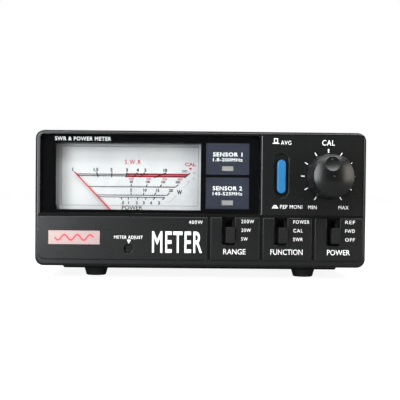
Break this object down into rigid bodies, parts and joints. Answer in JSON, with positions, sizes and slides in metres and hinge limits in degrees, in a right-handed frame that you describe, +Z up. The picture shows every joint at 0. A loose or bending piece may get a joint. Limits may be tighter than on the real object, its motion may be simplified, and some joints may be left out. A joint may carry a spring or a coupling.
{
  "type": "swr meter",
  "caption": "Desktop radio SWR and power meter: black front with moving-coil meter, slide switches, push button and knob on a steel case with rear coaxial sockets.",
  "frame": {"origin": "under the middle of the case, on the surface that its feet stand on", "axes": "+X to the right seen from the front, +Y from the front to the back, +Z up"},
  "size_m": [0.157, 0.1344, 0.0695],
  "materials": {
    "front_plastic": "fine spark-eroded texture",
    "clear_window": "polished clear acrylic",
    "clear_meter": "clear moulded styrene",
    "black_print": "black screen print behind acrylic",
    "sensor_blue_grey": "slate print",
    "lamp_lens": "diffuse lens, unlit",
    "badge_silver": "satin",
    "case_paint": "fine texture powder coat",
    "foot_rubber": "moulded",
    "screw_steel": "zinc plated",
    "black_screw": "black oxide",
    "socket_nickel": "nickel plated brass",
    "socket_insulation": "white moulded insulator",
    "contact_metal": "plated spring contact",
    "inlet_plastic": "black moulded",
    "coupler_steel": "tinned sheet",
    "line_copper": "copper",
    "meter_grey": "pale grey moulded",
    "scale_white": "printed white",
    "magnet_iron": "ground",
    "bridge_metal": "stamped",
    "needle_red": "red",
    "bulb_glass": "clear bulb",
    "board_green": "solder resist",
    "spacer_brass": "turned",
    "chip_black": "moulded",
    "can_sleeve": "shrunk sleeve",
    "trimmer_blue": "moulded",
    "cable_grey": "ribbon",
    "control_metal": "nickel plated",
    "switch_black": "moulded",
    "knob_black": "soft satin",
    "button_blue": "moulded sky blue"
  },
  "bodies": {
    "case": {"front_bezel": "front_plastic", "window_pane": "clear_window", "window_mask": "black_print", "sensor_1_plate": "sensor_blue_grey", "sensor_2_plate": "sensor_blue_grey", "sensor_1_lamp": "lamp_lens", "sensor_2_lamp": "lamp_lens", "badge_plate": "badge_silver", "top_cover": "case_paint", "chassis": "case_paint", "back_panel": "case_paint", "foot_front_left": "foot_rubber", "foot_front_right": "foot_rubber", "foot_back_left": "foot_rubber", "foot_back_right": "foot_rubber", "foot_screws": "screw_steel", "cover_screws": "black_screw", "socket_1_antenna": "socket_nickel", "socket_1_radio": "socket_nickel", "socket_2_radio": "socket_nickel", "socket_2_antenna": "socket_nickel", "socket_insulators": "socket_insulation", "socket_contacts": "contact_metal", "socket_screws": "screw_steel", "power_inlet": "inlet_plastic", "power_inlet_contacts": "contact_metal", "coupler_trays": "coupler_steel", "coupler_lids": "coupler_steel", "through_lines": "line_copper", "meter_cover": "clear_meter", "meter_case": "meter_grey", "scale_plate": "scale_white", "meter_magnet": "magnet_iron", "meter_yoke": "magnet_iron", "meter_bridge": "bridge_metal", "meter_bulb": "bulb_glass", "front_board": "board_green", "main_board": "board_green", "board_spacers": "spacer_brass", "chips": "chip_black", "capacitors": "can_sleeve", "trimmers": "trimmer_blue", "ribbon_cable": "cable_grey", "cal_control": "control_metal", "cal_nut": "control_metal", "push_switch": "switch_black", "range_switch": "switch_black", "function_switch": "switch_black", "power_switch": "switch_black"},
    "movement": {"needle": "needle_red", "moving_coil": "line_copper", "hairspring": "bridge_metal"},
    "zero_adjuster": {"zero_adjust_screw": "screw_steel"},
    "zero_fork": {"zero_lever": "bridge_metal"},
    "calibration": {"cal_knob": "knob_black", "cal_shaft": "control_metal"},
    "pep_switch": {"pep_button": "button_blue"},
    "range_select": {"range_slider": "switch_black"},
    "function_select": {"function_slider": "switch_black"},
    "power_select": {"power_slider": "switch_black"}
  },
  "joints": [
    {"name": "needle_swing", "type": "hinge", "parent": "case", "child": "movement", "pos_m": [-0.0338, -0.03585, 0.022], "axis": [0, 1, 0], "range_deg": [0, 90], "stiffness_Nm_per_rad": 0.0006},
    {"name": "zero_adjust", "type": "hinge", "parent": "case", "child": "zero_adjuster", "pos_m": [-0.0338, -0.04525, 0.01415], "axis": [0, 1, 0], "range_deg": [-30, 30]},
    {"name": "zero_fork_swing", "type": "hinge", "parent": "case", "child": "zero_fork", "pos_m": [-0.0338, -0.03585, 0.022], "axis": [0, 1, 0], "range_deg": [-3.6, 3.6]},
    {"name": "cal_turn", "type": "hinge", "parent": "case", "child": "calibration", "pos_m": [0.0597, -0.04825, 0.04895], "axis": [0, 1, 0], "range_deg": [-142, 158]},
    {"name": "pep_press", "type": "slide", "parent": "case", "child": "pep_switch", "axis": [0, 1, 0], "range_m": [0, 0.0028], "stiffness_N_per_m": 300, "springref_m": -0.001},
    {"name": "range_slide", "type": "slide", "parent": "case", "child": "range_select", "axis": [0, 0, 1], "range_m": [0, 0.0044]},
    {"name": "function_slide", "type": "slide", "parent": "case", "child": "function_select", "axis": [0, 0, 1], "range_m": [0, 0.0044]},
    {"name": "power_slide", "type": "slide", "parent": "case", "child": "power_select", "axis": [0, 0, 1], "range_m": [0, 0.0044]}
  ],
  "couplings": [
    {"joint": "zero_fork_swing", "follows": "zero_adjust", "ratio": -0.1135}
  ]
}
